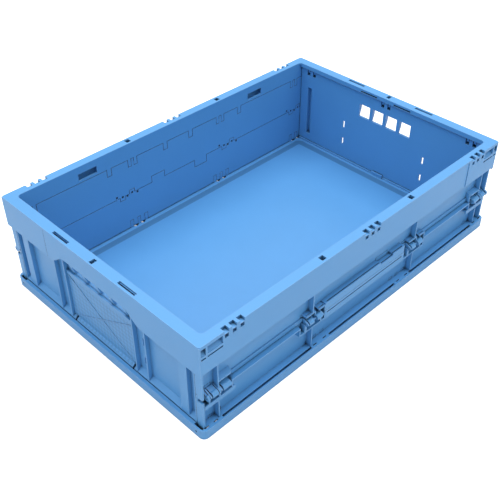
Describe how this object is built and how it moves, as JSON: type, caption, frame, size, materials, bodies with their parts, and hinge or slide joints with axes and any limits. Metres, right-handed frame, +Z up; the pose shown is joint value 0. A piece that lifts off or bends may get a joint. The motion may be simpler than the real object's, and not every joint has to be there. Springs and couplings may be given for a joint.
{
  "type": "collapsible storage crate",
  "caption": "Shallow open-topped folding crate with a tray base, hinged two-part long walls, a deep top frame and end panels that swing in under the frame.",
  "frame": {"origin": "centre of the underside, on the plane the crate rests on", "axes": "+X along the long side towards the right end panel, +Y across towards the rear long wall, +Z up"},
  "size_m": [0.6, 0.4, 0.154],
  "materials": {
    "crate_plastic": "satin",
    "pin_plastic": "satin"
  },
  "bodies": {
    "crate": {"base_tray": "crate_plastic", "top_frame": "crate_plastic", "front_lower_wall": "crate_plastic", "front_upper_wall": "crate_plastic", "rear_lower_wall": "crate_plastic", "rear_upper_wall": "crate_plastic", "front_base_pin_1": "pin_plastic", "front_base_pin_2": "pin_plastic", "front_base_pin_3": "pin_plastic", "front_base_pin_4": "pin_plastic", "front_mid_pin_1": "pin_plastic", "front_mid_pin_2": "pin_plastic", "front_mid_pin_3": "pin_plastic", "front_mid_pin_4": "pin_plastic", "front_top_pin_1": "pin_plastic", "front_top_pin_2": "pin_plastic", "front_top_pin_3": "pin_plastic", "front_top_pin_4": "pin_plastic", "rear_base_pin_1": "pin_plastic", "rear_base_pin_2": "pin_plastic", "rear_base_pin_3": "pin_plastic", "rear_base_pin_4": "pin_plastic", "rear_mid_pin_1": "pin_plastic", "rear_mid_pin_2": "pin_plastic", "rear_mid_pin_3": "pin_plastic", "rear_mid_pin_4": "pin_plastic", "rear_top_pin_1": "pin_plastic", "rear_top_pin_2": "pin_plastic", "rear_top_pin_3": "pin_plastic", "rear_top_pin_4": "pin_plastic", "left_end_pin_1": "pin_plastic", "left_end_pin_2": "pin_plastic", "left_end_pin_3": "pin_plastic", "right_end_pin_1": "pin_plastic", "right_end_pin_2": "pin_plastic", "right_end_pin_3": "pin_plastic"},
    "left_end": {"left_end_panel": "crate_plastic"},
    "right_end": {"right_end_panel": "crate_plastic"}
  },
  "joints": [
    {"name": "left_end_swing", "type": "hinge", "parent": "crate", "child": "left_end", "pos_m": [-0.2895, 0, 0.1423], "axis": [0, -1, 0], "range_deg": [0, 90]},
    {"name": "right_end_swing", "type": "hinge", "parent": "crate", "child": "right_end", "pos_m": [0.2895, 0, 0.1423], "axis": [0, 1, 0], "range_deg": [0, 90]}
  ]
}
